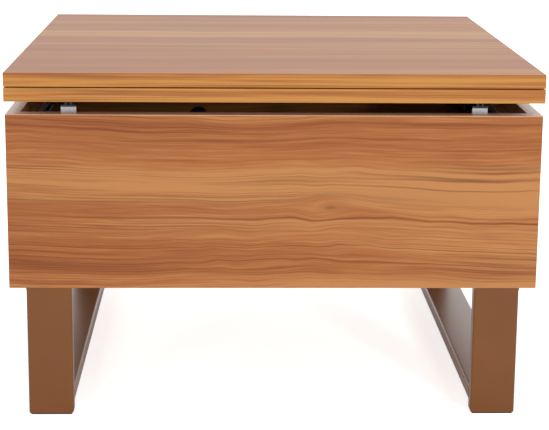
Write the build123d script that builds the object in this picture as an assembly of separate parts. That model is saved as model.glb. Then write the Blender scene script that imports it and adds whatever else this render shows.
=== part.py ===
from build123d import *
import os

# Lift-top coffee table, millimetres. +X right, +Y back, +Z up.
# The origin lies on the floor, under the middle of the table.
# The front of the table faces -Y.

# ---- driving dimensions --------------------------------------------------------------
table_width = 700.0          # leaves and box, side to side
table_depth = 700.0          # front edge of the leaves to the hinge knuckles
leaf_board = 18.0            # thickness of each leaf
leaf_gap = 1.5               # between the folded leaves
lid_gap = 18.0               # between the box rim and the lower leaf
box_height = 233.0
leg_height = 177.0           # floor to the underside of the box
box_setback = 10.0           # box front behind the leaf front
side_board = 18.0            # side panels
end_board = 22.0             # front and back panels
bottom_board = 16.0
edge_band = 1.0              # edging strip on every visible board edge
arris = 0.6                  # easing of the boards' outer edges

tube_width = 60.0            # leg tube, seen from the front
tube_depth = 20.0            # leg tube, seen from the side
tube_wall = 1.5
tube_corner = 3.0
leg_inset = 22.0             # leg tube in from the side of the box
leg_setback = 1.5            # leg front behind the box front
rail_clearance = 13.5        # floor rail above the floor
mounting_plate = 3.0
foot_flange = 2.0            # foot cap under the tube

arm_length = 300.0           # pivot to pivot
arm_width = 24.0
arm_plate = 3.7
front_pivot_y = -180.0       # base pivot of the front arms
front_pivot_z = 354.0
rear_pivot_y = 0.0           # base pivot of the rear arms
rear_pivot_z = 314.0
bracket_plate = 3.0
pivot_radius = 4.0
pivot_head_radius = 7.0
running_clearance = 0.05     # pin in bush
open_clearance = 0.3         # pin in the rear arms' upper bushes
axial_gap = 0.3              # beside each arm
outer_arm_gap = 3.0          # arm to base bracket, with a washer and the pin heads in it
inner_arm_gap = 3.8          # arm to top bracket, with a washer and the rivet heads in it
bush_radius = 6.5
cross_tube_radius = 10.0
cross_tube_wall = 1.5
cross_tube_reach = 90.0      # from the front arms' base pivot

knuckle_radius = 3.0         # leaf hinges
hinge_pin_radius = 1.5
hinge_plate = 1.5
hinge_length = 60.0
hinge_count = 3
hinge_spacing = 240.0
leaf_to_axis = 1.0           # back edge of the leaves in front of the hinge axis

# ---- derived places -------------------------------------------------------------------
half_width = table_width / 2
half_depth = table_depth / 2
box_bottom = leg_height
box_top = leg_height + box_height
board_top = box_top - edge_band
lower_leaf_bottom = box_top + lid_gap
lower_leaf_top = lower_leaf_bottom + leaf_board
upper_leaf_bottom = lower_leaf_top + leaf_gap

box_front = half_depth - box_setback
end_inner = box_front - end_board
side_inner = half_width - side_board
floor_top = box_bottom + bottom_board

leg_outer = half_width - leg_inset
leg_inner = leg_outer - tube_width
leg_middle = (leg_outer + leg_inner) / 2
leg_front = box_front - leg_setback
leg_back_of_post = leg_front - tube_depth
leg_top = leg_height - mounting_plate

# Places across the linkage, measured from the middle plane out to the right side wall.
base_plate_in = side_inner - bracket_plate
arm_out = base_plate_in - outer_arm_gap
arm_in = arm_out - arm_plate
top_plate_out = arm_in - inner_arm_gap
top_plate_in = top_plate_out - bracket_plate

hinge_axis_y = half_depth - knuckle_radius
hinge_axis_z = lower_leaf_top + leaf_gap / 2
leaf_back = hinge_axis_y - leaf_to_axis
top_front_pivot_y = front_pivot_y + arm_length
top_rear_pivot_y = rear_pivot_y + arm_length


# ---- small helpers ----------------------------------------------------------------------
def block(x0, x1, y0, y1, z0, z1):
    """A box between two corners."""
    centre = Pos((x0 + x1) / 2, (y0 + y1) / 2, (z0 + z1) / 2)
    return centre * Box(abs(x1 - x0), abs(y1 - y0), abs(z1 - z0))


def rod_x(x0, x1, y, z, radius):
    """A cylinder along X."""
    return Pos((x0 + x1) / 2, y, z) * Rot(0, 90, 0) * Cylinder(radius, abs(x1 - x0))


def rod_y(y0, y1, x, z, radius):
    """A cylinder along Y."""
    return Pos(x, (y0 + y1) / 2, z) * Rot(90, 0, 0) * Cylinder(radius, abs(y1 - y0))


def rod_z(z0, z1, x, y, radius):
    """A cylinder along Z."""
    return Pos(x, y, (z0 + z1) / 2) * Cylinder(radius, abs(z1 - z0))


def ring_x(x0, x1, y, z, outer, inner):
    """A washer or bush along X."""
    return rod_x(x0, x1, y, z, outer) - rod_x(x0 - 1, x1 + 1, y, z, inner)


def cut(shape, tools):
    """The shape with every tool taken away."""
    for tool in tools:
        shape = shape - tool
    return shape


def both_sides(right_pieces):
    """The pieces of the right side and their mirror images on the left."""
    return list(right_pieces) + [mirror(piece, about=Plane.YZ) for piece in right_pieces]


def save(name, pieces):
    """One node: one solid, or a group of separate solids."""
    if isinstance(pieces, (list, tuple)):
        solids = [solid for piece in pieces for solid in piece.solids()]
    else:
        solids = pieces.solids()
    shape = solids[0] if len(solids) == 1 else Compound(children=solids)
    shape.label = name
    export_step(shape, "parts/" + name + ".step")


def save_pair(name, right_piece):
    """A right node and its mirror image on the left."""
    save("right_" + name, right_piece)
    save("left_" + name, mirror(right_piece, about=Plane.YZ))


def countersunk_x(face_x, y, z, head, shank, length):
    """A flat-head screw driven in +X, its head flush with the plane at face_x."""
    cone_depth = head - shank
    cone = Pos(face_x + cone_depth / 2, y, z) * Rot(0, 90, 0) * Cone(head, shank, cone_depth)
    return cone + rod_x(face_x + cone_depth, face_x + length, y, z, shank)


def countersunk_y(face_y, x, z, head, shank, length):
    """A flat-head screw driven in -Y, its head flush with the plane at face_y."""
    cone_depth = head - shank
    cone = Pos(x, face_y - cone_depth / 2, z) * Rot(90, 0, 0) * Cone(head, shank, cone_depth)
    return cone + rod_y(face_y - length, face_y - cone_depth, x, z, shank)


def countersunk_z(face_z, x, y, head, shank, length, up):
    """A flat-head screw along Z, its head flush with the plane at face_z."""
    cone_depth = head - shank
    if up:
        cone = Pos(x, y, face_z + cone_depth / 2) * Cone(head, shank, cone_depth)
        return cone + rod_z(face_z + cone_depth, face_z + length, x, y, shank)
    cone = Pos(x, y, face_z - cone_depth / 2) * Cone(shank, head, cone_depth)
    return cone + rod_z(face_z - length, face_z - cone_depth, x, y, shank)


# ---- storage box ------------------------------------------------------------------------
dowel_radius = 4.0
dowel_length = 30.0
dowel_in_end_board = 10.0
dowel_in_side_board = 14.0
bottom_dowel_stations = (-200.0, 0.0, 200.0)
cam_radius = 7.5
cam_depth = 13.0
cam_from_end = 34.0
cam_slot_length = 10.0
cam_slot_width = 1.6
cam_slot_depth = 2.0
bolt_thread_radius = 2.5
bolt_thread_length = 11.0
bolt_shaft_radius = 3.5
bolt_in_cam = 5.0            # the bolt's end stops this short of the cam's middle
cam_above_bottom = 58.0
cam_below_top = 60.0
cam_heights = (box_bottom + cam_above_bottom, box_top - cam_below_top)
dowel_above_bottom = 25.0
dowel_below_top = 20.0
corner_dowel_heights = (box_bottom + dowel_above_bottom, box_top - dowel_below_top)
side_middle = side_inner + side_board / 2


def corner_dowels():
    """Dowels from the front and back panels into the ends of the side panels."""
    right = []
    for end in (-1, 1):
        for height in corner_dowel_heights:
            start = end * (end_inner + dowel_in_end_board)
            right.append(rod_y(start, start - end * dowel_length, side_middle, height, dowel_radius))
    return both_sides(right)


def bottom_dowels():
    """Dowels from the side panels into the edges of the bottom panel."""
    right = []
    for y in bottom_dowel_stations:
        outer = side_inner + dowel_in_side_board
        right.append(rod_x(outer - dowel_length, outer, y, box_bottom + bottom_board / 2, dowel_radius))
    return both_sides(right)


def cam_bolts():
    """Bolts screwed into the front and back panels, each ending inside a cam."""
    right = []
    for end in (-1, 1):
        for height in cam_heights:
            face = end * end_inner
            thread_end = end * (end_inner + bolt_thread_length)
            shaft_end = end * (end_inner - cam_from_end + bolt_in_cam)
            thread = rod_y(thread_end, face, side_middle, height, bolt_thread_radius)
            shaft = rod_y(face, shaft_end, side_middle, height, bolt_shaft_radius)
            right.append(thread + shaft)
    return both_sides(right)


def cam_locks(bolts):
    """Round cams let into the inner faces of the side panels."""
    right = []
    deep = side_inner + cam_slot_depth
    long = cam_slot_length / 2
    thin = cam_slot_width / 2
    for end in (-1, 1):
        for height in cam_heights:
            y = end * (end_inner - cam_from_end)
            cam = rod_x(side_inner, side_inner + cam_depth, y, height, cam_radius)
            slot = block(side_inner - 1, deep, y - long, y + long, height - thin, height + thin)
            cross = block(side_inner - 1, deep, y - thin, y + thin, height - long, height + long)
            right.append(cut(cam - slot - cross, bolts[:4]))
    return both_sides(right)


def eased_end_wall(y0, y1):
    """A front or back wall with its rim strip, every edge eased."""
    wall = block(-half_width, half_width, y0, y1, box_bottom, box_top)
    return fillet(wall.edges(), arris)


def eased_side_wall():
    """The right side wall with its rim strip. Its ends are square, against the other walls."""
    wall = block(side_inner, half_width, -end_inner, end_inner, box_bottom, box_top)
    return fillet(wall.edges().filter_by(Axis.Y), arris)


def below_rim(wall):
    """The part of a wall under its rim strip."""
    return wall & block(-table_width, table_width, -table_depth, table_depth, 0, board_top)


def rim_strip(wall):
    """The edging strip on top of a wall."""
    return wall & block(-table_width, table_width, -table_depth, table_depth, board_top, box_top)


# ---- leg frames ---------------------------------------------------------------------------
leg_screw_stations = (-280.0, -110.0, 110.0, 280.0)
leg_screw_radius = 3.0
leg_screw_length = 15.0
leg_screw_head_radius = 6.0
leg_screw_head = 3.0
leg_screw_socket_radius = 2.8
leg_screw_socket = 1.8
cap_plug_height = 12.0
cap_skirt_base = 4.0
cap_skirt_height = 6.0
cap_side_step = 2.5          # flange in from the tube's outside, each side
cap_face_step = 0.5          # flange in from the tube's outside, front and back
plug_side_play = 2.0         # plug in from the tube's inside, each side
plug_face_play = 0.5         # plug in from the tube's inside, front and back


def flat_tube(length, wall):
    """Flat steel tube along Z from 0 to length, rounded along its corners."""
    outer = extrude(RectangleRounded(tube_width, tube_depth, tube_corner), length)
    inner_width = tube_width - 2 * wall
    inner_depth = tube_depth - 2 * wall
    inner = extrude(RectangleRounded(inner_width, inner_depth, tube_corner - wall), length)
    return outer - inner


def leg_post(middle_y):
    """An upright tube whose lower corners are rounded in the front view."""
    height = leg_top - foot_flange
    post = Pos(leg_middle, middle_y, foot_flange) * flat_tube(height, tube_wall)
    outline = Pos(0, height / 2) * Rectangle(tube_width, height)
    low_corners = outline.vertices().sort_by(Axis.Y)[:2]
    rounded = fillet(low_corners, tube_corner)
    face = Plane(origin=(leg_middle, middle_y, foot_flange), x_dir=(1, 0, 0), z_dir=(0, -1, 0)) * rounded
    return post & extrude(face, tube_depth, both=True)


def floor_rail():
    """The tube along the floor, between the front post and the rear post."""
    length = 2 * leg_back_of_post
    rail = Rot(90, 0, 0) * flat_tube(length, tube_wall)
    return Pos(leg_middle, leg_back_of_post, rail_clearance + tube_depth / 2) * rail


def leg_screws():
    """Pan-head screws up through the mounting plates into the bottom panel."""
    right = []
    head_low = leg_top - leg_screw_head
    for y in leg_screw_stations:
        head = rod_z(head_low, leg_top, leg_middle, y, leg_screw_head_radius)
        hexagon = extrude(RegularPolygon(leg_screw_socket_radius, 6), leg_screw_socket)
        socket = Pos(leg_middle, y, head_low) * hexagon
        shank = rod_z(leg_top, leg_top + leg_screw_length, leg_middle, y, leg_screw_radius)
        right.append(head + shank - socket)
    return both_sides(right)


def leg_plate(screws):
    """The plate welded on top of a leg frame."""
    plate = block(leg_inner, leg_outer, -leg_front, leg_front, leg_top, leg_height)
    return cut(plate, screws)


def foot_caps():
    """Plastic caps plugged into the lower ends of the posts."""
    right = []
    for middle_y in (-leg_front + tube_depth / 2, leg_front - tube_depth / 2):
        corner = tube_corner - tube_wall
        flange_width = tube_width - 2 * cap_side_step
        flange_depth = tube_depth - 2 * cap_face_step
        flange = extrude(RectangleRounded(flange_width, flange_depth, corner), foot_flange)
        width = tube_width - 2 * tube_wall
        depth = tube_depth - 2 * tube_wall
        plug_width = width - 2 * plug_side_play
        plug_depth = depth - 2 * plug_face_play
        plug = extrude(RectangleRounded(plug_width, plug_depth, corner), cap_plug_height)
        skirt = Pos(0, 0, cap_skirt_base) * extrude(RectangleRounded(width, depth, corner), cap_skirt_height)
        cap = flange + Pos(0, 0, foot_flange) * (plug + skirt)
        right.append(Pos(leg_middle, middle_y, 0) * cap)
    return both_sides(right)


# ---- lift linkage, fixed to the box -----------------------------------------------------------
bracket_margin = 36.0        # base bracket in front of the front pivot and behind the rear one
bracket_rise = 20.0
bracket_drop = 24.0
bracket_corner = 10.0
base_screw_inset = 14.0      # screws in from the bracket's front and back edges
base_screw_head = 4.0
base_screw_radius = 2.0
base_screw_length = 16.0
base_screw_rise = 8.0        # screws above the front pivot
base_screw_fall = 10.0       # screws below a pivot
washer_radius = 9.0
rivet_head = 2.5
spring_coil_radius = 13.5    # middle of the wire
spring_wire_radius = 1.5
spring_length = 15.0
spring_leg = 34.0
spring_play = 2.0            # spring to arm
spool_play = 1.0             # spring to spool cap
spring_out = arm_in - spring_play
spring_in = spring_out - spring_length
spool_in = spring_in - spool_play
spool_radius = 10.0
spool_cap_radius = 17.0
spool_cap = 2.0


def base_bracket_outline():
    """Side view of the plate that carries both base pivots of one side."""
    front = front_pivot_y - bracket_margin
    back = rear_pivot_y + bracket_margin
    top = front_pivot_z + bracket_rise
    bottom = rear_pivot_z - bracket_drop
    corners = [
        (front, top),
        (back, top),
        (back, bottom),
        ((front_pivot_y + rear_pivot_y) / 2, bottom),
        (front, front_pivot_z - bracket_drop),
    ]
    outline = Polygon(*corners, align=None)
    return fillet(outline.vertices(), bracket_corner)


def side_plate(outline, inner_x, thickness):
    """A plate standing in a plane of constant X, from a side-view outline (Y, Z)."""
    face = Plane(origin=(inner_x, 0, 0), x_dir=(0, 1, 0), z_dir=(1, 0, 0)) * outline
    return extrude(face, thickness, dir=(1, 0, 0))


def base_screws():
    """Flat-head screws through the base brackets into the side panels."""
    aside = bracket_margin - base_screw_inset
    high = front_pivot_z + base_screw_rise
    between = (front_pivot_y + rear_pivot_y) / 2
    places = [
        (front_pivot_y - aside, high),
        (front_pivot_y - aside, front_pivot_z - base_screw_fall),
        (rear_pivot_y + aside, high),
        (rear_pivot_y + aside, rear_pivot_z - base_screw_fall),
        (between, rear_pivot_z - base_screw_fall),
    ]
    right = [countersunk_x(base_plate_in, y, z, base_screw_head, base_screw_radius, base_screw_length)
             for y, z in places]
    return both_sides(right)


def front_base_pin():
    """Pivot pin of a front arm, with the spool that carries the lift spring."""
    shaft = rod_x(arm_in - axial_gap, side_inner, front_pivot_y, front_pivot_z, pivot_radius)
    spool = rod_x(spool_in, arm_in - axial_gap, front_pivot_y, front_pivot_z, spool_radius)
    cap = rod_x(spool_in - spool_cap, spool_in, front_pivot_y, front_pivot_z, spool_cap_radius)
    return shaft + spool + cap


def rear_base_pin():
    """Pivot pin of a rear arm."""
    head_out = arm_in - axial_gap
    head_in = head_out - rivet_head
    shaft = rod_x(head_out, side_inner, rear_pivot_y, rear_pivot_z, pivot_radius)
    return shaft + rod_x(head_in, head_out, rear_pivot_y, rear_pivot_z, pivot_head_radius)


def base_washers():
    """Washers between the base brackets and the arms."""
    right = []
    for y, z in ((front_pivot_y, front_pivot_z), (rear_pivot_y, rear_pivot_z)):
        right.append(ring_x(arm_out + axial_gap, base_plate_in, y, z, washer_radius, pivot_radius))
    return both_sides(right)


# ---- supports in the lid gap ---------------------------------------------------------------------
support_middle = 269.0
support_width = 20.0
support_height = 8.0         # upright above the rim
support_sheet = 2.0
support_front = -box_front + 14.0
support_flange = 25.0        # how far the flange hangs down inside the box
support_bend = 1.5
support_screw_z = box_top - 15.0
support_screw_head = 3.5
support_screw_radius = 1.75
support_screw_length = 18.0
pad_base = 2.5               # height of the pad under its two studs
pad_skirt = 4.0              # how far the pad hangs down behind the upright
pad_wall = 2.0
stud_radius = 2.0
stud_offset = 3.3


def front_support(screw):
    """A zinc strip bent twice: an upright on the rim, a shelf back over it, a flange inside the box."""
    x0 = support_middle - support_width / 2
    x1 = support_middle + support_width / 2
    inside = -end_inner + support_sheet
    shelf_top = box_top + support_sheet
    upright = block(x0, x1, support_front, support_front + support_sheet, box_top, box_top + support_height)
    shelf = block(x0, x1, support_front, inside, box_top, shelf_top)
    flange = block(x0, x1, -end_inner, inside, box_top - support_flange, shelf_top)
    bent = upright + shelf + flange
    bends = bent.edges().filter_by(Axis.X).filter_by_position(Axis.Z, shelf_top - 0.1, shelf_top + 0.1)
    return fillet(bends, support_bend) - screw


def support_screw():
    """Flat-head screw that holds a support's flange to the inner face of the front panel."""
    return countersunk_y(-end_inner + support_sheet, support_middle, support_screw_z,
                         support_screw_head, support_screw_radius, support_screw_length)


def support_pad():
    """Rubber pad pushed over the upright, with two studs under the lower leaf."""
    base_z = box_top + support_height
    stud_z = base_z + pad_base
    x0 = support_middle - support_width / 2
    x1 = support_middle + support_width / 2
    y0 = support_front - pad_wall
    y1 = support_front + support_sheet + pad_wall
    pad = block(x0, x1, y0, y1, base_z, stud_z)
    pad = pad + block(x0, x1, y1 - pad_wall, y1, base_z - pad_skirt, base_z)
    for x in (support_middle - stud_offset, support_middle + stud_offset):
        pad = pad + rod_z(stud_z, lower_leaf_bottom, x, (y0 + y1) / 2, stud_radius)
    return pad


buffer_x = -110.0
buffer_z = 297.0
buffer_radius = 15.0
buffer_dome_radius = 16.0
buffer_plug_radius = 4.0
buffer_plug_length = 10.0


def back_buffer():
    """Domed rubber buffer on the inner face of the back panel, with its plug."""
    dome = Pos(buffer_x, end_inner, buffer_z) * Sphere(buffer_dome_radius)
    disc = rod_y(end_inner - buffer_dome_radius, end_inner, buffer_x, buffer_z, buffer_radius)
    plug = rod_y(end_inner, end_inner + buffer_plug_length, buffer_x, buffer_z, buffer_plug_radius)
    return (dome & disc) + plug


# ---- arms ------------------------------------------------------------------------------------------
def arm(pivot_y, pivot_z):
    """A flat bar with round ends, lying back from its base pivot."""
    far_y = pivot_y + arm_length
    half = arm_width / 2
    bar = block(arm_in, arm_out, pivot_y, far_y, pivot_z - half, pivot_z + half)
    for y in (pivot_y, far_y):
        bar = bar + rod_x(arm_in, arm_out, y, pivot_z, half)
    for y in (pivot_y, far_y):
        bar = bar - rod_x(arm_in - 1, arm_out + 1, y, pivot_z, bush_radius)
    return bar


def bush(y, z, clearance):
    """Nylon bush pressed into one end of an arm."""
    return ring_x(arm_in, arm_out, y, z, bush_radius, pivot_radius + clearance)


def front_bushes():
    """The bushes at both ends of both front arms."""
    ends = (front_pivot_y, top_front_pivot_y)
    return both_sides([bush(y, front_pivot_z, running_clearance) for y in ends])


def rear_bushes():
    """The two bushes of one rear arm. The upper one is the looser."""
    lower = bush(rear_pivot_y, rear_pivot_z, running_clearance)
    upper = bush(top_rear_pivot_y, rear_pivot_z, open_clearance)
    return [lower, upper]


def cross_tube():
    """The tube welded between the two front arms."""
    y = front_pivot_y + cross_tube_reach
    outer = rod_x(-arm_in, arm_in, y, front_pivot_z, cross_tube_radius)
    return outer - rod_x(-arm_in, arm_in, y, front_pivot_z, cross_tube_radius - cross_tube_wall)


def lift_spring():
    """Torsion spring round the front base pin, with its leg under the front arm.

    The close coil is one sleeve of its inner and outer radius.
    """
    outer = spring_coil_radius + spring_wire_radius
    inner = spring_coil_radius - spring_wire_radius
    spring = ring_x(spring_in, spring_out, front_pivot_y, front_pivot_z, outer, inner)
    leg_x = spring_out - spring_wire_radius
    leg_z = front_pivot_z - spring_coil_radius
    hook_y = front_pivot_y + spring_leg
    spring = spring + rod_y(front_pivot_y, hook_y, leg_x, leg_z, spring_wire_radius)
    spring = spring + Pos(leg_x, hook_y, leg_z) * Sphere(spring_wire_radius)
    return spring + rod_x(leg_x, arm_out, hook_y, leg_z, spring_wire_radius)


# ---- top carriage --------------------------------------------------------------------------------
flange_width = 30.0
flange_reach_front = 30.0    # flange in front of the front pivot
flange_reach_back = 12.0     # flange behind the rear pivot
front_eye_front = 14.0       # web in front of the front pivot
front_eye_back = 24.0        # web behind the front pivot
rear_eye_front = 30.0        # web in front of the rear pivot
bracket_front = top_front_pivot_y - flange_reach_front
bracket_back = top_rear_pivot_y + flange_reach_back
eye_below_front = 14.0       # metal under the front pivot
eye_below_rear = 12.0        # metal under the rear pivot
screw_from_end = 14.0
top_screw_stations = (
    bracket_front + screw_from_end,
    (bracket_front + bracket_back) / 2,
    bracket_back - screw_from_end,
)
top_screw_head_radius = 4.5
top_screw_head = 2.4
top_screw_radius = 2.0
top_screw_length = 15.0
top_screw_slot_length = 5.0
top_screw_slot_width = 1.0
top_screw_slot = 1.2
pin_head = 1.9


def top_bracket(screws):
    """Pressed bracket under the lower leaf, one per side, with both top pivots."""
    corners = [
        (bracket_front, lower_leaf_bottom),
        (bracket_back, lower_leaf_bottom),
        (bracket_back, rear_pivot_z - eye_below_rear),
        (top_rear_pivot_y - rear_eye_front, rear_pivot_z - eye_below_rear),
        (top_front_pivot_y + front_eye_back, front_pivot_z - eye_below_front),
        (top_front_pivot_y - front_eye_front, front_pivot_z - eye_below_front),
    ]
    outline = Polygon(*corners, align=None)
    low = outline.vertices().sort_by(Axis.Y)[:4]
    web = side_plate(fillet(low, bracket_corner), top_plate_in, bracket_plate)
    flange = block(top_plate_out - flange_width, top_plate_in, bracket_front, bracket_back,
                   lower_leaf_bottom - bracket_plate, lower_leaf_bottom)
    bracket = web + flange
    for y, z in ((top_front_pivot_y, front_pivot_z), (top_rear_pivot_y, rear_pivot_z)):
        bracket = bracket - rod_x(top_plate_in - 1, top_plate_out + 1, y, z, pivot_radius)
    return cut(bracket, screws)


def top_screws():
    """Pan-head screws up through the bracket flanges into the lower leaf."""
    right = []
    x = top_plate_in - flange_width / 2
    face = lower_leaf_bottom - bracket_plate
    head_low = face - top_screw_head
    slot_top = head_low + top_screw_slot
    long = top_screw_slot_length / 2
    thin = top_screw_slot_width / 2
    for y in top_screw_stations:
        head = rod_z(head_low, face, x, y, top_screw_head_radius)
        slot = block(x - long, x + long, y - thin, y + thin, head_low - 1, slot_top)
        cross = block(x - thin, x + thin, y - long, y + long, head_low - 1, slot_top)
        shank = rod_z(face, face + top_screw_length, x, y, top_screw_radius)
        right.append(head - slot - cross + shank)
    return both_sides(right)


def top_pins():
    """Shouldered pins at the four top pivots, riveted into the brackets."""
    right = []
    for y, z in ((top_front_pivot_y, front_pivot_z), (top_rear_pivot_y, rear_pivot_z)):
        head_in = arm_out + axial_gap
        shaft = rod_x(top_plate_in, head_in, y, z, pivot_radius)
        right.append(shaft + rod_x(head_in, head_in + pin_head, y, z, pivot_head_radius))
    return both_sides(right)


def top_washers():
    """Washers between the top brackets and the arms."""
    right = []
    for y, z in ((top_front_pivot_y, front_pivot_z), (top_rear_pivot_y, rear_pivot_z)):
        right.append(ring_x(top_plate_out, arm_in - axial_gap, y, z, washer_radius, pivot_radius))
    return both_sides(right)


# ---- leaves and their hinges ---------------------------------------------------------------------
hinge_plate_depth = 26.0
knuckle_count = 5
knuckle_gap = 0.3            # between neighbouring knuckles
knuckle_clearance = 0.4      # round a knuckle
hinge_screw_from_axis = 15.0
hinge_screw_offsets = (-20.0, 0.0, 20.0)
hinge_screw_head = 3.0
hinge_screw_radius = 1.5
hinge_screw_length = 13.0
bumper_from_edge = 30.0
bumper_radius = 5.0


def hinge_middles():
    """The middle of each hinge along X."""
    return [(index - (hinge_count - 1) / 2) * hinge_spacing for index in range(hinge_count)]


def hinge_half(middle_x, upper):
    """One plate of a hinge with its own knuckles, cut free of the other plate's knuckles."""
    x0 = middle_x - hinge_length / 2
    x1 = middle_x + hinge_length / 2
    z0 = upper_leaf_bottom if upper else lower_leaf_top - hinge_plate
    plate = block(x0, x1, hinge_axis_y - hinge_plate_depth, hinge_axis_y, z0, z0 + hinge_plate)
    half = plate
    step = hinge_length / knuckle_count
    bore = hinge_pin_radius + (running_clearance if upper else 0.0)
    for index in range(knuckle_count):
        start = x0 + index * step
        owned = (index % 2 == 1) == upper
        if owned:
            left = start + (knuckle_gap if upper else 0.0)
            right = start + step - (knuckle_gap if upper else 0.0)
            half = half + rod_x(left, right, hinge_axis_y, hinge_axis_z, knuckle_radius)
        else:
            margin = knuckle_gap if upper else 0.0
            half = half - rod_x(start - margin, start + step + margin, hinge_axis_y, hinge_axis_z,
                                knuckle_radius + knuckle_clearance)
    return half - rod_x(x0 - 1, x1 + 1, hinge_axis_y, hinge_axis_z, bore)


def hinge_screws(middle_x, upper):
    """Three flat-head screws of one hinge plate."""
    face = upper_leaf_bottom if upper else lower_leaf_top
    y = hinge_axis_y - hinge_screw_from_axis
    places = [middle_x + offset for offset in hinge_screw_offsets]
    return [countersunk_z(face, x, y, hinge_screw_head, hinge_screw_radius, hinge_screw_length, upper)
            for x in places]


def hinge_recesses(upper):
    """What the leaf loses at each hinge: the plate's bed and the knuckles' hollow."""
    tools = []
    z0 = upper_leaf_bottom if upper else lower_leaf_top - hinge_plate
    for middle_x in hinge_middles():
        x0 = middle_x - hinge_length / 2
        x1 = middle_x + hinge_length / 2
        tools.append(block(x0, x1, hinge_axis_y - hinge_plate_depth, hinge_axis_y, z0, z0 + hinge_plate))
        tools.append(rod_x(x0 - knuckle_clearance, x1 + knuckle_clearance, hinge_axis_y, hinge_axis_z,
                           knuckle_radius + knuckle_clearance))
    return tools


def leaf_board_whole(z0):
    """A leaf with its edging, every edge eased."""
    board = block(-half_width, half_width, -half_depth, leaf_back, z0, z0 + leaf_board)
    return fillet(board.edges(), arris)


def leaf_core(z0, tools):
    """The laminated board inside its edging."""
    core = block(-half_width + edge_band, half_width - edge_band, -half_depth + edge_band,
                 leaf_back - edge_band, z0, z0 + leaf_board)
    return cut(core, tools)


def leaf_bands(z0, tools):
    """The four edging strips of a leaf. The side strips run the full depth."""
    whole = leaf_board_whole(z0)
    z1 = z0 + leaf_board
    inner = half_width - edge_band
    strips = [
        whole & block(-half_width, -inner, -half_depth, leaf_back, z0, z1),
        whole & block(inner, half_width, -half_depth, leaf_back, z0, z1),
        whole & block(-inner, inner, -half_depth, -half_depth + edge_band, z0, z1),
        whole & block(-inner, inner, leaf_back - edge_band, leaf_back, z0, z1),
    ]
    return strips[:3] + [cut(strips[3], tools)]


def leaf_bumpers():
    """Thin round bumpers under the upper leaf."""
    x = half_width - bumper_from_edge
    stations = (-half_depth + bumper_from_edge, 0.0)
    return both_sides([rod_z(lower_leaf_top, upper_leaf_bottom, x, y, bumper_radius) for y in stations])


# ---- writing the nodes -------------------------------------------------------------------------
def save_box():
    """The storage box with its joints."""
    dowels_y = corner_dowels()
    dowels_x = bottom_dowels()
    bolts = cam_bolts()
    cams = cam_locks(bolts)
    leg_fixings = leg_screws()
    bracket_fixings = base_screws()
    support_fixings = both_sides([support_screw()])
    front = eased_end_wall(-box_front, -end_inner)
    back = eased_end_wall(end_inner, box_front)
    side = eased_side_wall()
    bottom = block(-side_inner, side_inner, -end_inner, end_inner, box_bottom, floor_top)
    save("front_panel", cut(below_rim(front), dowels_y + bolts + support_fixings))
    save("back_panel", cut(below_rim(back), dowels_y + bolts + [back_buffer()]))
    side_tools = dowels_y + dowels_x + bolts + cams + bracket_fixings
    right_tools = [tool for tool in side_tools if tool.center().X > 0]
    right_tools += [rod_x(side_inner - 1, side_inner + cam_depth, end * (end_inner - cam_from_end), height,
                          cam_radius) for end in (-1, 1) for height in cam_heights]
    save_pair("side_panel", cut(below_rim(side), right_tools))
    save("bottom_panel", cut(bottom, dowels_x + leg_fixings))
    save("wood_dowels", dowels_y + dowels_x)
    save("cam_bolts", bolts)
    save("cam_locks", cams)
    save("box_rim_bands", [rim_strip(front), rim_strip(back)] + both_sides([rim_strip(side)]))
    save("support_screws", support_fixings)
    save("leg_screws", leg_fixings)
    save("base_bracket_screws", bracket_fixings)
    save("back_buffer", back_buffer())


def save_legs():
    """The two sled frames."""
    post_middle = leg_front - tube_depth / 2
    save_pair("front_post", leg_post(-post_middle))
    save_pair("rear_post", leg_post(post_middle))
    save_pair("floor_rail", floor_rail())
    save_pair("leg_plate", leg_plate(leg_screws()[:len(leg_screw_stations)]))
    save("foot_caps", foot_caps())


def save_supports():
    """The zinc supports on the front rim and their rubber pads."""
    save_pair("front_support", front_support(support_screw()))
    save_pair("support_pad", support_pad())


def save_linkage():
    """The lift linkage of both sides."""
    pins = (front_base_pin(), rear_base_pin())
    plate = side_plate(base_bracket_outline(), base_plate_in, bracket_plate)
    save_pair("base_bracket", cut(plate, base_screws()[:5] + list(pins)))
    save("front_base_pins", both_sides([pins[0]]))
    save("rear_base_pins", both_sides([pins[1]]))
    save("base_pivot_washers", base_washers())
    save_pair("front_arm", arm(front_pivot_y, front_pivot_z))
    save("front_arm_bushes", front_bushes())
    save("cross_tube", cross_tube())
    save_pair("lift_spring", lift_spring())
    save_pair("rear_arm", arm(rear_pivot_y, rear_pivot_z))
    right = rear_bushes()
    save("right_rear_arm_bushes", right)
    save("left_rear_arm_bushes", [mirror(piece, about=Plane.YZ) for piece in right])
    fixings = top_screws()
    save_pair("top_bracket", top_bracket(fixings[:len(top_screw_stations)]))
    save("top_bracket_screws", fixings)
    save("top_pivot_pins", top_pins())
    save("top_pivot_washers", top_washers())


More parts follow.
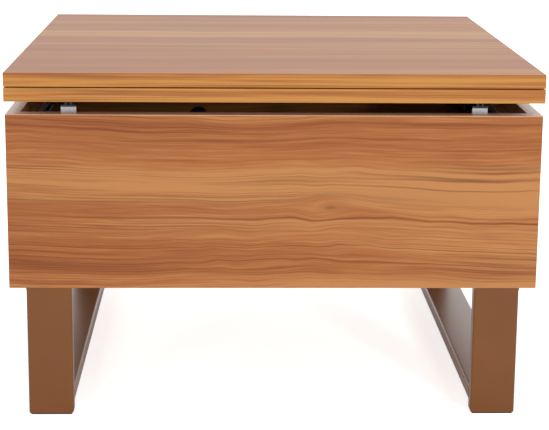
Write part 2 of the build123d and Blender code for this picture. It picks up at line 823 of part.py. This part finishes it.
def save_leaves():
    """The folding top."""
    lower_screws = [screw for x in hinge_middles() for screw in hinge_screws(x, False)]
    upper_screws = [screw for x in hinge_middles() for screw in hinge_screws(x, True)]
    lower_tools = hinge_recesses(False)
    upper_tools = hinge_recesses(True)
    save("lower_leaf", leaf_core(lower_leaf_bottom, lower_tools + lower_screws + top_screws()))
    save("upper_leaf", leaf_core(upper_leaf_bottom, upper_tools + upper_screws))
    save("lower_leaf_bands", leaf_bands(lower_leaf_bottom, lower_tools))
    save("upper_leaf_bands", leaf_bands(upper_leaf_bottom, upper_tools))
    save("lower_hinge_plates", [cut(hinge_half(x, False), lower_screws) for x in hinge_middles()])
    save("upper_hinge_plates", [cut(hinge_half(x, True), upper_screws) for x in hinge_middles()])
    save("hinge_pins", [rod_x(x - hinge_length / 2, x + hinge_length / 2, hinge_axis_y, hinge_axis_z,
                              hinge_pin_radius) for x in hinge_middles()])
    save("lower_hinge_screws", lower_screws)
    save("upper_hinge_screws", upper_screws)
    save("leaf_bumpers", leaf_bumpers())


os.makedirs("parts", exist_ok=True)
save_box()
save_legs()
save_supports()
save_linkage()
save_leaves()
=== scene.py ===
import math

import bpy
from mathutils import Matrix, Vector


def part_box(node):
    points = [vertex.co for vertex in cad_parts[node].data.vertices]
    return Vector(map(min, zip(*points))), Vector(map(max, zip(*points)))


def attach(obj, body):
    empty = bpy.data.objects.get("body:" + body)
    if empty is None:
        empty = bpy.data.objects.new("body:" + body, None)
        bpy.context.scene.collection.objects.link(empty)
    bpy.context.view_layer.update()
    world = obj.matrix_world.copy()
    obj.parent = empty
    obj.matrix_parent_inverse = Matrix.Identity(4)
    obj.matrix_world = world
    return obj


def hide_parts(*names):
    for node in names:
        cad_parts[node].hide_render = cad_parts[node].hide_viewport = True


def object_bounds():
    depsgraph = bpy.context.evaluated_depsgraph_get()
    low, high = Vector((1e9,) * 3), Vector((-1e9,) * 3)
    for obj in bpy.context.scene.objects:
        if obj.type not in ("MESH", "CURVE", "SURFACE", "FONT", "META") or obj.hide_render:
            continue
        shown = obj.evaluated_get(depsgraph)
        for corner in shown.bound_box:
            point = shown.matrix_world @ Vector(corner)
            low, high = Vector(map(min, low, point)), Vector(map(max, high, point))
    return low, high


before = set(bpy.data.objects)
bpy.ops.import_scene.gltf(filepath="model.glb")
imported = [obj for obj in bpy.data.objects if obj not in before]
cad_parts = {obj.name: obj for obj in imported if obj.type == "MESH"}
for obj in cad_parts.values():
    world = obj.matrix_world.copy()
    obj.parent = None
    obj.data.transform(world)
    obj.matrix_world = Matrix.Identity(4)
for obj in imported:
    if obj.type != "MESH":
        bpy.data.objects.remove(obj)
cad_low, cad_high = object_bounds()


# ---- lift springs, metres --------------------------------------------------------------------
SPRING_WIRE = 0.0015         # radius
SPRING_WIRE_ROUNDNESS = 3    # bevel resolution of the wire
SPRING_ARM_GAP = 0.002       # from the last turn to the arm
SPRING_TURNS = 4
SPRING_STEPS = 32            # points in one turn
SPRING_BEND = 2 * SPRING_WIRE
SPRING_BEND_STEPS = 6


# ---- knot in the front panel, metres ---------------------------------------------------------
KNOT_RIGHT = 0.074           # its heart, right of the panel's middle
KNOT_BELOW_TOP = 0.122       # its heart, under the panel's top edge
KNOT_LENGTH = 0.036          # along the grain
KNOT_HEIGHT = 0.014
KNOT_TIGHTNESS = 16.0        # how much faster the dark heart fades than the bend round it
KNOT_DARKNESS = 0.55         # of the heart, beside the darkest streak


# ---- wood grain ------------------------------------------------------------------------------
# A pattern's scale is along, across and through the grain, in cycles per metre.
SLOW_WAVE = (1.8, 3.0, 1.5)
SLOW_REACH = 0.040           # metres across the grain
QUICK_WAVE = (6.5, 13.0, 3.0)
QUICK_REACH = 0.012
CURL_WAVE = (16.0, 34.0, 6.0)
CURL_REACH = 0.016
CURL_PLACES = dict(scale=(3.2, 6.0, 2.0), level=0.50, edge=6.0)

TONE_ZONES = dict(scale=(0.4, 7.5, 0.8), detail=0.0)
TONE_BANDS = dict(scale=(0.6, 26.0, 0.8), detail=1.0, roughness=0.4)
GROWTH_RINGS = dict(scale=(1.4, 130.0, 1.0), detail=2.0, roughness=0.6)
FIBRES = dict(scale=(11.0, 400.0, 9.0), detail=2.0, roughness=0.65)
TONE_LAYERS = (              # each with its weight in the wood's tone
    (TONE_ZONES, 0.40),
    (TONE_BANDS, 0.26),
    (GROWTH_RINGS, 0.19),
)
FIBRE_WEIGHT = 0.18

THIN_LINES = dict(scale=(0.45, 66.0, 0.5), sharpness=30.0, place_scale=(1.3, 15.0, 1.0), place_level=0.45)
LONG_LINES = dict(scale=(0.28, 26.0, 0.4), sharpness=85.0, place_scale=(1.0, 9.0, 1.0), place_level=0.43)
LONG_EDGES = dict(LONG_LINES, sharpness=22.0)
HAIR_LINES = dict(scale=(0.6, 150.0, 0.5), sharpness=16.0, place_scale=(1.8, 26.0, 1.0), place_level=0.46)
LINE_LAYERS = (              # each with how dark it is
    (THIN_LINES, 0.80),
    (LONG_LINES, 1.00),
    (LONG_EDGES, 0.30),
    (HAIR_LINES, 0.62),
)
LINE_PLACE_EDGE = 8.0        # how sharply a line begins and ends
STREAK_STRENGTH = 0.85       # of the darkest line
PORE_DEPTH = 0.6             # of a dark line, beside the fibres
BOARD_SPREAD = 0.07          # tone from the middle colour to the dark or the light one
GRAIN_RELIEF = dict(strength=0.12, distance=0.0002)

# Edging strips round the leaves: here a pattern's scale is along x, y and z.
STRIP_BANDS = dict(scale=(1.1, 1.1, 110.0), detail=1.0, roughness=0.4)
STRIP_FIBRES = dict(scale=(5.0, 5.0, 420.0), detail=3.0, roughness=0.65)
STRIP_LINES = dict(scale=(1.6, 1.6, 240.0), sharpness=11.0, place_scale=(3.5, 3.5, 60.0), place_level=0.48)
STRIP_STREAK_STRENGTH = 0.55
STRIP_SPREAD = 0.09


# ---- metals and plastics: where a pattern gives their darkest and lightest colour -------------
PATTERN_LOW = 0.3
PATTERN_HIGH = 0.7


# ---- room ------------------------------------------------------------------------------------
FRONT_LIGHT = 0.92           # strength from in front of the table
REAR_LIGHT = 1.26            # and from behind it
TOP_SHADE = 0.24             # taken off straight above
FLOOR_WHITENESS = 0.72       # floor as the camera sees it
FLOOR_GLOW = 0.12            # floor as it lights the table
FLOOR_REACH = 40.0           # metres from the table to the floor's edges

# Metres from the table's middle, from its front edge and from the floor, size in metres, power in watts.
RIGHT_SOFTBOX = dict(to_right=1.45, in_front=3.05, above_floor=1.02, width=0.25, height=0.25, power=46.0)
LEFT_SOFTBOX = dict(to_right=-1.9, in_front=2.85, above_floor=0.98, width=0.5, height=0.3, power=14.0)


# ---- camera, metres and radians --------------------------------------------------------------
CAMERA_IN_FRONT = 2.04       # of the table's front edge
CAMERA_ABOVE_FLOOR = 0.762
CAMERA_TO_LEFT = 0.066
CAMERA_YAW = 0.032           # turned to the right
CAMERA_PITCH = 0.2117        # looking down
CAMERA_ROLL = 0.009          # right side up
CAMERA_REACH = 100.0         # the farthest it sees
LENS_LENGTH = 105.0          # millimetres
LENS_FALL = 0.06             # shift down, of the sensor's width
SENSOR_WIDTH = 36.0          # millimetres


# ---- places read from the frame --------------------------------------------------------------
floor_level = cad_low[2]
table_middle = Vector((0.0, 0.0, (cad_low[2] + cad_high[2]) / 2))
table_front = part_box("upper_leaf_bands")[0][1]
panel_low, panel_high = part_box("front_panel")
end_wall_inner = abs(panel_high[1])          # inner faces of the front and back walls, from the middle
knot_place = ((panel_low[0] + panel_high[0]) / 2 + KNOT_RIGHT, panel_high[2] - KNOT_BELOW_TOP)


# ---- node-tree helpers -----------------------------------------------------------------------
class Tree:
    """A short way to write a material's node tree."""

    def __init__(self, name, group=False):
        if group:
            self.tree = bpy.data.node_groups.new(name, "ShaderNodeTree")
            return
        self.material = bpy.data.materials.new(name)
        self.material.use_nodes = True
        self.tree = self.material.node_tree
        self.shader = self.tree.nodes["Principled BSDF"]

    @classmethod
    def of(cls, node_tree):
        """The same helpers on a tree that is already there."""
        made = cls.__new__(cls)
        made.tree = node_tree
        return made

    def node(self, kind, **settings):
        """A new node with its plain settings."""
        made = self.tree.nodes.new("ShaderNode" + kind)
        for key, value in settings.items():
            setattr(made, key, value)
        return made

    def join(self, source, target):
        """A link, or a plain value where the source is a number or a colour."""
        if isinstance(source, (int, float, tuple)):
            target.default_value = source
        else:
            self.tree.links.new(source, target)

    def surface(self, name, source):
        """One input of the shader, as a plain value or a link."""
        self.join(source, self.shader.inputs[name])

    def math(self, operation, a, b=0.0, c=0.0, clamp=False):
        """One Math node."""
        made = self.node("Math", operation=operation, use_clamp=clamp)
        for value, socket in zip((a, b, c), made.inputs):
            self.join(value, socket)
        return made.outputs[0]

    def split(self, vector):
        """The three coordinates of a point."""
        made = self.node("SeparateXYZ")
        self.join(vector, made.inputs[0])
        return made.outputs

    def combine(self, *coordinates):
        """A point from its three coordinates."""
        made = self.node("CombineXYZ")
        for value, socket in zip(coordinates, made.inputs):
            self.join(value, socket)
        return made.outputs[0]

    def noise(self, vector, scale, detail=2.0, roughness=0.5):
        """Noise of a point whose three coordinates are scaled one by one."""
        scaled = self.node("VectorMath", operation="MULTIPLY")
        self.join(vector, scaled.inputs[0])
        scaled.inputs[1].default_value = scale
        made = self.node("TexNoise")
        self.join(scaled.outputs[0], made.inputs["Vector"])
        made.inputs["Scale"].default_value = 1.0
        made.inputs["Detail"].default_value = detail
        made.inputs["Roughness"].default_value = roughness
        return made.outputs["Fac"]

    def even_noise(self, vector, scale, detail=2.0, roughness=0.5):
        """Noise with the same scale every way."""
        return self.noise(vector, (scale, scale, scale), detail, roughness)

    def ramp(self, factor, stops):
        """A colour from (position, colour) stops."""
        made = self.node("ValToRGB")
        elements = made.color_ramp.elements
        while len(elements) < len(stops):
            elements.new(0.5)
        for element, (position, colour) in zip(elements, stops):
            element.position = position
            element.color = (*colour[:3], 1.0)
        self.join(factor, made.inputs["Fac"])
        return made.outputs["Color"]

    def mix(self, factor, a, b):
        """A colour mix."""
        made = self.node("Mix", data_type="RGBA", blend_type="MIX")
        self.join(factor, made.inputs[0])
        self.join(a, made.inputs[6])
        self.join(b, made.inputs[7])
        return made.outputs[2]

    def bump(self, height, strength, distance):
        """Bump on the shader's normal."""
        made = self.node("Bump")
        made.inputs["Strength"].default_value = strength
        made.inputs["Distance"].default_value = distance
        self.join(height, made.inputs["Height"])
        self.surface("Normal", made.outputs["Normal"])

    def uneven_colour(self, pattern, colour, darkest, lightest):
        """A colour made darker and lighter by a pattern."""
        dark = [darkest * part for part in colour[:3]]
        light = [lightest * part for part in colour[:3]]
        return self.ramp(pattern, [(PATTERN_LOW, dark), (PATTERN_HIGH, light)])

    def uneven_roughness(self, pattern, change, roughness):
        """A roughness that varies with a pattern about its middle value."""
        return self.math("MULTIPLY_ADD", pattern, change, roughness - change / 2)

    def object_point(self):
        """The point in the object's own coordinates, in metres."""
        return self.node("TexCoord").outputs["Object"]

    def grain_point(self, vector, axes, shift):
        """The point as (along, across, through) the grain, shifted in each."""
        parts = self.split(vector)
        return self.combine(*(self.math("ADD", parts[axis], offset) for axis, offset in zip(axes, shift)))


def linear(red, green, blue):
    """An sRGB colour, 0 to 255, as a linear one."""
    def channel(value):
        value = value / 255
        return value / 12.92 if value <= 0.04045 else ((value + 0.055) / 1.055) ** 2.4
    return (channel(red), channel(green), channel(blue), 1.0)


# ---- wood ------------------------------------------------------------------------------------
def wave(tree, point, scale, reach):
    """A wave of the grain: noise about zero, over a reach in metres."""
    centred = tree.math("SUBTRACT", tree.noise(point, scale, detail=1.0), 0.5)
    return tree.math("MULTIPLY", centred, reach)


def places(tree, point, scale, level, edge):
    """1 in some places and 0 in the others, with soft edges."""
    patches = tree.noise(point, scale, detail=1.0)
    return tree.math("MULTIPLY", tree.math("SUBTRACT", patches, level), edge, clamp=True)


def growth_line(tree, point, scale, sharpness, place_scale, place_level):
    """Thin dark lines where a stretched noise crosses its middle, fading in and out along the grain."""
    ridge = tree.noise(point, scale, detail=0.5)
    ridge = tree.math("ABSOLUTE", tree.math("SUBTRACT", ridge, 0.5))
    line = tree.math("SUBTRACT", 1.0, tree.math("MULTIPLY", ridge, sharpness), clamp=True)
    return tree.math("MULTIPLY", line, places(tree, point, place_scale, place_level, LINE_PLACE_EDGE))


def waved_point(tree, point):
    """The point moved across the grain by slow and quick waves, and by curls in some places."""
    along, across, through = tree.split(point)
    slow = wave(tree, point, SLOW_WAVE, SLOW_REACH)
    quick = wave(tree, point, QUICK_WAVE, QUICK_REACH)
    curl = wave(tree, point, CURL_WAVE, CURL_REACH)
    curl = tree.math("MULTIPLY", curl, places(tree, point, **CURL_PLACES))
    sway = tree.math("ADD", tree.math("ADD", slow, quick), curl)
    return tree.combine(along, tree.math("ADD", across, sway), through)


def wood_grain_group():
    """Long, gently waving grain: broad zones, bands, growth rings, thin dark lines and fine fibres."""
    tree = Tree("wood_grain", group=True)
    interface = tree.tree.interface
    interface.new_socket("Point", in_out="INPUT", socket_type="NodeSocketVector")
    for name in ("Tone", "Streak", "Fibre"):
        interface.new_socket(name, in_out="OUTPUT", socket_type="NodeSocketFloat")
    given = tree.tree.nodes.new("NodeGroupInput").outputs["Point"]
    result = tree.tree.nodes.new("NodeGroupOutput")
    point = waved_point(tree, given)

    fibres = tree.noise(point, **FIBRES)
    tone = tree.math("MULTIPLY", fibres, FIBRE_WEIGHT)
    for layer, weight in TONE_LAYERS:
        tone = tree.math("MULTIPLY_ADD", tree.noise(point, **layer), weight, tone)

    darkest = 0.0
    for lines, weight in LINE_LAYERS:
        line = tree.math("MULTIPLY", growth_line(tree, point, **lines), weight)
        darkest = tree.math("MAXIMUM", darkest, line)

    tree.join(tone, result.inputs["Tone"])
    tree.join(darkest, result.inputs["Streak"])
    tree.join(fibres, result.inputs["Fibre"])
    return tree.tree


WOOD_GRAIN = wood_grain_group()


def wood_colour(tree, tone, spread, light, middle, dark):
    """The wood's colour without its dark lines."""
    return tree.ramp(tone, [(0.5 - spread, dark), (0.5, middle), (0.5 + spread, light)])


def grained(tree, point, light, middle, dark, streak, contrast, lines, roughness, heart=0.0):
    """Colour, gloss and pores of a laminate from its grain at a point."""
    grain = tree.node("Group", node_tree=WOOD_GRAIN)
    tree.join(point, grain.inputs["Point"])
    tone, streaks, fibres = grain.outputs
    tone = tree.math("MULTIPLY_ADD", tree.math("SUBTRACT", tone, 0.5), contrast, 0.5)
    colour = wood_colour(tree, tone, BOARD_SPREAD, light, middle, dark)
    darkest = tree.math("MAXIMUM", streaks, heart)
    colour = tree.mix(tree.math("MULTIPLY", darkest, STREAK_STRENGTH * lines), colour, streak)
    tree.surface("Base Color", colour)
    tree.surface("Roughness", tree.uneven_roughness(fibres, change=0.12, roughness=roughness))
    tree.surface("Specular IOR Level", 0.36)
    pores = tree.math("MULTIPLY", streaks, PORE_DEPTH)
    tree.bump(tree.math("SUBTRACT", fibres, pores), **GRAIN_RELIEF)
    return tree.material


def part_round_knot(tree, point, along_middle, across_middle):
    """The point with its grain parted round a small knot, and how dark the knot's heart is there."""
    along, across, through = tree.split(point)
    aside = tree.math("DIVIDE", tree.math("SUBTRACT", along, along_middle), KNOT_LENGTH)
    above = tree.math("DIVIDE", tree.math("SUBTRACT", across, across_middle), KNOT_HEIGHT)
    apart = tree.math("MULTIPLY_ADD", aside, aside, tree.math("MULTIPLY", above, above))
    near = tree.math("EXPONENT", tree.math("MULTIPLY", apart, -1.0))
    push = tree.math("MULTIPLY", tree.math("MULTIPLY", above, near), KNOT_HEIGHT)
    parted = tree.combine(along, tree.math("SUBTRACT", across, push), through)
    heart = tree.math("MULTIPLY", tree.math("POWER", near, KNOT_TIGHTNESS), KNOT_DARKNESS)
    return parted, heart


def wood(name, axes, cut_from, light, middle, dark, streak,
         contrast=1.0, lines=1.0, roughness=0.42, knot=None):
    """Wood-print laminate, cut from one place in the print. Its grain runs along the first of the axes."""
    tree = Tree(name)
    point = tree.grain_point(tree.object_point(), axes, cut_from)
    heart = 0.0
    if knot:
        point, heart = part_round_knot(tree, point, knot[0] + cut_from[0], knot[1] + cut_from[1])
    return grained(tree, point, light, middle, dark, streak, contrast, lines, roughness, heart)


def rim_wood(name, light, middle, dark, streak, contrast, lines, roughness):
    """The strips on the box rim: the grain runs along each wall."""
    tree = Tree(name)
    x, y, z = tree.split(tree.object_point())
    on_end_wall = tree.math("GREATER_THAN", tree.math("ABSOLUTE", y), end_wall_inner)
    along_less_y = tree.math("MULTIPLY", tree.math("SUBTRACT", x, y), on_end_wall)
    point = tree.combine(tree.math("ADD", y, along_less_y), tree.math("SUBTRACT", x, along_less_y), z)
    return grained(tree, point, light, middle, dark, streak, contrast, lines, roughness)


def straight_wood(name, rise, light, middle, dark, streak):
    """Edging strips round a leaf: fine straight lines on all four sides, from one height in the print."""
    tree = Tree(name)
    point = tree.grain_point(tree.object_point(), (0, 1, 2), (0.0, 0.0, rise))
    bands = tree.noise(point, **STRIP_BANDS)
    fibres = tree.noise(point, **STRIP_FIBRES)
    tone = tree.math("ADD", tree.math("MULTIPLY", bands, 0.5), tree.math("MULTIPLY", fibres, 0.5))
    colour = wood_colour(tree, tone, STRIP_SPREAD, light, middle, dark)
    lines = growth_line(tree, point, **STRIP_LINES)
    colour = tree.mix(tree.math("MULTIPLY", lines, STRIP_STREAK_STRENGTH), colour, streak)
    tree.surface("Base Color", colour)
    tree.surface("Roughness", tree.uneven_roughness(fibres, change=0.14, roughness=0.41))
    tree.surface("IOR", 1.5)
    tree.bump(fibres, **GRAIN_RELIEF)
    return tree.material


PANEL_COLOURS = dict(
    light=linear(173, 117, 66),
    middle=linear(154, 91, 44),
    dark=linear(133, 70, 28),
    streak=linear(88, 30, 6),
)
LEAF_COLOURS = dict(
    light=linear(191, 134, 73),
    middle=linear(169, 102, 44),
    dark=linear(147, 78, 31),
    streak=linear(106, 44, 18),
)
BAND_COLOURS = dict(
    light=linear(180, 122, 52),
    middle=linear(165, 103, 39),
    dark=linear(146, 82, 30),
    streak=linear(118, 59, 21),
)
# Edging on the box rim: the wood print made paler, a painted sheen standing for the white reflection on the
# rim's top.
RIM_COLOURS_WITH_SHEEN = dict(
    light=linear(206, 164, 134),
    middle=linear(190, 148, 118),
    dark=linear(168, 126, 100),
    streak=linear(140, 100, 78),
)
BEECH_COLOURS = dict(
    light=linear(222, 190, 150),
    middle=linear(205, 170, 126),
    dark=linear(180, 142, 100),
    streak=linear(150, 112, 74),
)


# ---- metals and plastics ---------------------------------------------------------------------
def powder_coat(name, colour, roughness):
    """Satin powder coat with a clear sheen, a faint orange peel and slight tone changes."""
    tree = Tree(name)
    point = tree.object_point()
    patches = tree.even_noise(point, scale=9.0)
    peel = tree.even_noise(point, scale=900.0)
    tree.surface("Base Color", tree.uneven_colour(patches, colour, darkest=0.90, lightest=1.08))
    tree.surface("Roughness", tree.uneven_roughness(peel, change=0.06, roughness=roughness))
    tree.surface("Specular IOR Level", 0.15)
    tree.surface("Coat Weight", 1.0)
    tree.surface("Coat Roughness", 0.30)
    tree.surface("Coat IOR", 1.4)
    tree.bump(peel, strength=0.05, distance=0.0001)
    return tree.material


def plated_steel(name, colour, roughness):
    """Zinc-plated or oiled steel: metal with a cloudy spangle and fine rolling marks."""
    tree = Tree(name)
    point = tree.object_point()
    clouds = tree.even_noise(point, scale=120.0, detail=3.0, roughness=0.6)
    marks = tree.noise(point, scale=(60.0, 2600.0, 2600.0))
    tree.surface("Base Color", tree.uneven_colour(clouds, colour, darkest=0.82, lightest=1.0))
    tree.surface("Metallic", 1.0)
    clouded = tree.uneven_roughness(clouds, change=0.16, roughness=roughness)
    roughened_by_marks = 0.05
    tree.surface("Roughness", tree.math("MULTIPLY_ADD", marks, roughened_by_marks, clouded))
    tree.bump(marks, strength=0.06, distance=0.0001)
    return tree.material


def moulded(name, colour, roughness, grain_scale, grain_depth):
    """Rubber or plastic with a fine moulded grain."""
    tree = Tree(name)
    point = tree.object_point()
    patches = tree.even_noise(point, scale=40.0)
    grain = tree.even_noise(point, scale=grain_scale, detail=3.0)
    tree.surface("Base Color", tree.uneven_colour(patches, colour, darkest=0.8, lightest=1.2))
    tree.surface("Roughness", tree.uneven_roughness(grain, change=0.15, roughness=roughness))
    tree.bump(grain, strength=grain_depth, distance=0.0003)
    return tree.material


# ---- lift springs ----------------------------------------------------------------------------
def coil_points(x_start, x_end, middle_y, middle_z, radius):
    """The turns of a coil, beginning and ending at its bottom."""
    points = []
    steps = SPRING_TURNS * SPRING_STEPS
    for index in range(steps + 1):
        angle = 2 * math.pi * index / SPRING_STEPS
        x = x_start + (x_end - x_start) * index / steps
        points.append((x, middle_y + radius * math.sin(angle), middle_z - radius * math.cos(angle)))
    return points


def leg_points(x_start, x_end, leg_y, bottom):
    """The wire's straight leg: back from the coil's bottom, then bent outwards under the arm."""
    points = [(x_start, leg_y - SPRING_BEND, bottom)]
    for index in range(1, SPRING_BEND_STEPS + 1):
        angle = math.pi / 2 * index / SPRING_BEND_STEPS
        x = x_start + SPRING_BEND * (1 - math.cos(angle))
        points.append((x, leg_y - SPRING_BEND * (1 - math.sin(angle)), bottom))
    points.append((x_end, leg_y, bottom))
    return points


def spring_points(side):
    """The wire of one torsion spring, from the coil's inner end to the outer face of the front arm."""
    low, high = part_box(side + "_lift_spring")
    arm_low, arm_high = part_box(side + "_front_arm")
    outer = (high[2] - low[2]) / 2
    radius = outer - SPRING_WIRE
    middle_y = low[1] + outer
    middle_z = (low[2] + high[2]) / 2
    arm_inner, arm_outer = sorted((abs(arm_low[0]), abs(arm_high[0])))
    coil_start = min(abs(low[0]), abs(high[0])) + SPRING_WIRE
    coil_end = arm_inner - SPRING_ARM_GAP - SPRING_WIRE
    points = coil_points(coil_start, coil_end, middle_y, middle_z, radius)
    points += leg_points(coil_end, arm_outer, high[1] - SPRING_WIRE, middle_z - radius)
    outward = 1 if side == "right" else -1
    return [(outward * x, y, z) for x, y, z in points]


def add_lift_spring(side, material):
    """A real coil in place of the plain sleeve."""
    curve = bpy.data.curves.new(side + "_spring_coil", "CURVE")
    curve.dimensions = "3D"
    curve.bevel_depth = SPRING_WIRE
    curve.bevel_resolution = SPRING_WIRE_ROUNDNESS
    curve.use_fill_caps = True
    points = spring_points(side)
    spline = curve.splines.new("POLY")
    spline.points.add(len(points) - 1)
    for place, point in zip(points, spline.points):
        point.co = (*place, 1.0)
    curve.materials.append(material)
    piece = bpy.data.objects.new(side + "_spring_coil", curve)
    bpy.context.scene.collection.objects.link(piece)
    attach(piece, "front_arms")
    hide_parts(side + "_lift_spring")


# ---- dressing the CAD nodes ------------------------------------------------------------------
def dress(names, material):
    """Puts one material on each named CAD node."""
    for name in names:
        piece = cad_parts[name]
        for slot in piece.material_slots:
            slot.material = material


def sides(*names):
    """The left and right node of each name."""
    return [side + "_" + name for name in names for side in ("left", "right")]


def dress_boards():
    """Laminate and edging of the box and the leaves, and the dowels. Each board is cut from its own place."""
    x, y, z = 0, 1, 2
    dress(["front_panel"],
          wood("panel_front", (x, z, y), (5.37, 1.85, 0.35), **PANEL_COLOURS, knot=knot_place))
    dress(["back_panel"], wood("panel_back", (x, z, y), (4.1, 0.6, 0.2), **PANEL_COLOURS))
    dress(sides("side_panel"), wood("panel_side", (y, z, x), (7.3, 1.4, 0.9), **PANEL_COLOURS))
    dress(["bottom_panel"], wood("panel_bottom", (x, y, z), (2.2, 3.1, 0.4), **PANEL_COLOURS))
    dress(["upper_leaf"],
          wood("leaf_upper", (x, y, z), (5.4, 2.5, 0.0), **LEAF_COLOURS, contrast=0.55, lines=0.9))
    dress(["lower_leaf"], wood("leaf_lower", (x, y, z), (9.6, 0.4, 1.0), **LEAF_COLOURS))
    dress(["upper_leaf_bands"], straight_wood("band_upper", 0.0, **BAND_COLOURS))
    dress(["lower_leaf_bands"], straight_wood("band_lower", 0.215, **BAND_COLOURS))
    # The rim's pale colours and faint grain are a painted sheen on the wood print.
    dress(["box_rim_bands"], rim_wood("band_rim_with_sheen", **RIM_COLOURS_WITH_SHEEN, contrast=0.5, lines=0.4, roughness=0.27))
    dress(["wood_dowels"], wood("beech", (y, x, z), (0.0, 0.0, 0.0), **BEECH_COLOURS))


def dress_steel():
    """Coated legs and linkage, zinc fittings and the two lift springs."""
    dress(sides("front_post", "rear_post", "floor_rail", "leg_plate"),
          powder_coat("brown_coat", linear(110, 62, 16), roughness=0.34))
    dress(sides("base_bracket", "front_arm", "rear_arm", "top_bracket") + ["cross_tube"],
          powder_coat("dark_coat", linear(44, 38, 35), roughness=0.42))
    dress(["cam_bolts", "cam_locks", "leg_screws", "support_screws", "base_bracket_screws",
           "top_bracket_screws", "lower_hinge_screws", "upper_hinge_screws", "front_base_pins",
           "rear_base_pins", "base_pivot_washers", "top_pivot_pins", "top_pivot_washers",
           "hinge_pins", "lower_hinge_plates", "upper_hinge_plates"],
          plated_steel("zinc_plate", (0.80, 0.81, 0.83), roughness=0.30))
    dress(sides("front_support"), plated_steel("bright_zinc", (0.66, 0.67, 0.68), roughness=0.44))
    spring_wire = plated_steel("spring_wire", (0.42, 0.42, 0.44), roughness=0.34)
    dress(sides("lift_spring"), spring_wire)
    for side in ("left", "right"):
        add_lift_spring(side, spring_wire)


def dress_plastics():
    """Nylon bushes, foot caps and rubber."""
    dress(["front_arm_bushes"] + sides("rear_arm_bushes"),
          moulded("nylon", (0.70, 0.68, 0.62), roughness=0.455, grain_scale=500.0, grain_depth=0.05))
    dress(["foot_caps"],
          moulded("cap_plastic", (0.030, 0.027, 0.025), roughness=0.505, grain_scale=900.0, grain_depth=0.15))
    dress(sides("support_pad") + ["back_buffer", "leaf_bumpers"],
          moulded("rubber", (0.022, 0.022, 0.024), roughness=0.555, grain_scale=700.0, grain_depth=0.12))


# ---- stage, light and camera -----------------------------------------------------------------
def add_floor():
    """A plain pale floor. It shades naturally for the table, and the camera sees it nearly white."""
    tree = Tree("stage_floor")
    tree.surface("Base Color", (0.8, 0.8, 0.8, 1.0))
    tree.surface("Roughness", 0.9)
    tree.surface("Specular IOR Level", 0.1)
    tree.surface("Emission Color", (1.0, 1.0, 1.0, 1.0))
    seen = tree.node("LightPath").outputs["Is Camera Ray"]
    glow = tree.math("MULTIPLY_ADD", seen, FLOOR_WHITENESS - FLOOR_GLOW, FLOOR_GLOW)
    tree.surface("Emission Strength", glow)
    mesh = bpy.data.meshes.new("stage_floor")
    corners = [(x * FLOOR_REACH, y * FLOOR_REACH, 0.0) for x, y in ((-1, -1), (1, -1), (1, 1), (-1, 1))]
    mesh.from_pydata(corners, [], [(0, 1, 2, 3)])
    floor = bpy.data.objects.new("stage_floor", mesh)
    floor.data.materials.append(tree.material)
    bpy.context.scene.collection.objects.link(floor)
    floor.location.z = floor_level


def add_world():
    """A white room, brightest behind the table and darker towards its ceiling. The camera sees it white."""
    world = bpy.data.worlds.new("studio")
    world.use_nodes = True
    tree = Tree.of(world.node_tree)
    _, to_back, up = tree.split(tree.node("TexCoord").outputs["Generated"])
    from_behind = tree.math("MULTIPLY_ADD", to_back, 0.5, 0.5)
    light = tree.math("MULTIPLY_ADD", from_behind, REAR_LIGHT - FRONT_LIGHT, FRONT_LIGHT)
    from_above = tree.math("MAXIMUM", up, 0.0)
    light = tree.math("MULTIPLY_ADD", from_above, -TOP_SHADE, light)
    seen = tree.node("LightPath").outputs["Is Camera Ray"]
    background = world.node_tree.nodes["Background"]
    background.inputs["Color"].default_value = (1.0, 1.0, 1.0, 1.0)
    tree.join(tree.math("MAXIMUM", light, seen), background.inputs["Strength"])
    bpy.context.scene.world = world


def add_softbox(name, to_right, in_front, above_floor, width, height, power):
    """A rectangular softbox aimed at the table, with no reflection of its own."""
    data = bpy.data.lights.new(name, "AREA")
    data.shape = "RECTANGLE"
    data.size = width
    data.size_y = height
    data.energy = power
    lamp = bpy.data.objects.new(name, data)
    place = Vector((to_right, table_front - in_front, floor_level + above_floor))
    lamp.location = place
    lamp.rotation_euler = (table_middle - place).to_track_quat("-Z", "Y").to_euler()
    lamp.visible_glossy = False
    bpy.context.scene.collection.objects.link(lamp)


def add_lights():
    """Two low softboxes at the front, which reach through the gap under the top."""
    add_softbox("right_softbox", **RIGHT_SOFTBOX)
    add_softbox("left_softbox", **LEFT_SOFTBOX)


def camera_turn():
    """The camera's rotation from its yaw, pitch and roll."""
    facing = Vector((math.sin(CAMERA_YAW), math.cos(CAMERA_YAW), 0.0))
    level = Vector((math.cos(CAMERA_YAW), -math.sin(CAMERA_YAW), 0.0))
    forward = facing * math.cos(CAMERA_PITCH) - Vector((0.0, 0.0, math.sin(CAMERA_PITCH)))
    upright = level.cross(forward)
    right = level * math.cos(CAMERA_ROLL) + upright * math.sin(CAMERA_ROLL)
    up = upright * math.cos(CAMERA_ROLL) - level * math.sin(CAMERA_ROLL)
    return Matrix((right, up, -forward)).transposed()


def add_camera():
    """A long lens left of the middle, looking a little down, with a little fall of the lens."""
    data = bpy.data.cameras.new("camera")
    data.sensor_width = SENSOR_WIDTH
    data.lens = LENS_LENGTH
    data.shift_y = -LENS_FALL
    data.clip_end = CAMERA_REACH
    camera = bpy.data.objects.new("camera", data)
    camera.matrix_world = camera_turn().to_4x4()
    camera.location = (-CAMERA_TO_LEFT, table_front - CAMERA_IN_FRONT, floor_level + CAMERA_ABOVE_FLOOR)
    bpy.context.scene.collection.objects.link(camera)
    bpy.context.scene.camera = camera


add_camera()
add_floor()
add_world()
add_lights()
dress_boards()
dress_steel()
dress_plastics()
bpy.context.scene.view_settings.view_transform = "Standard"
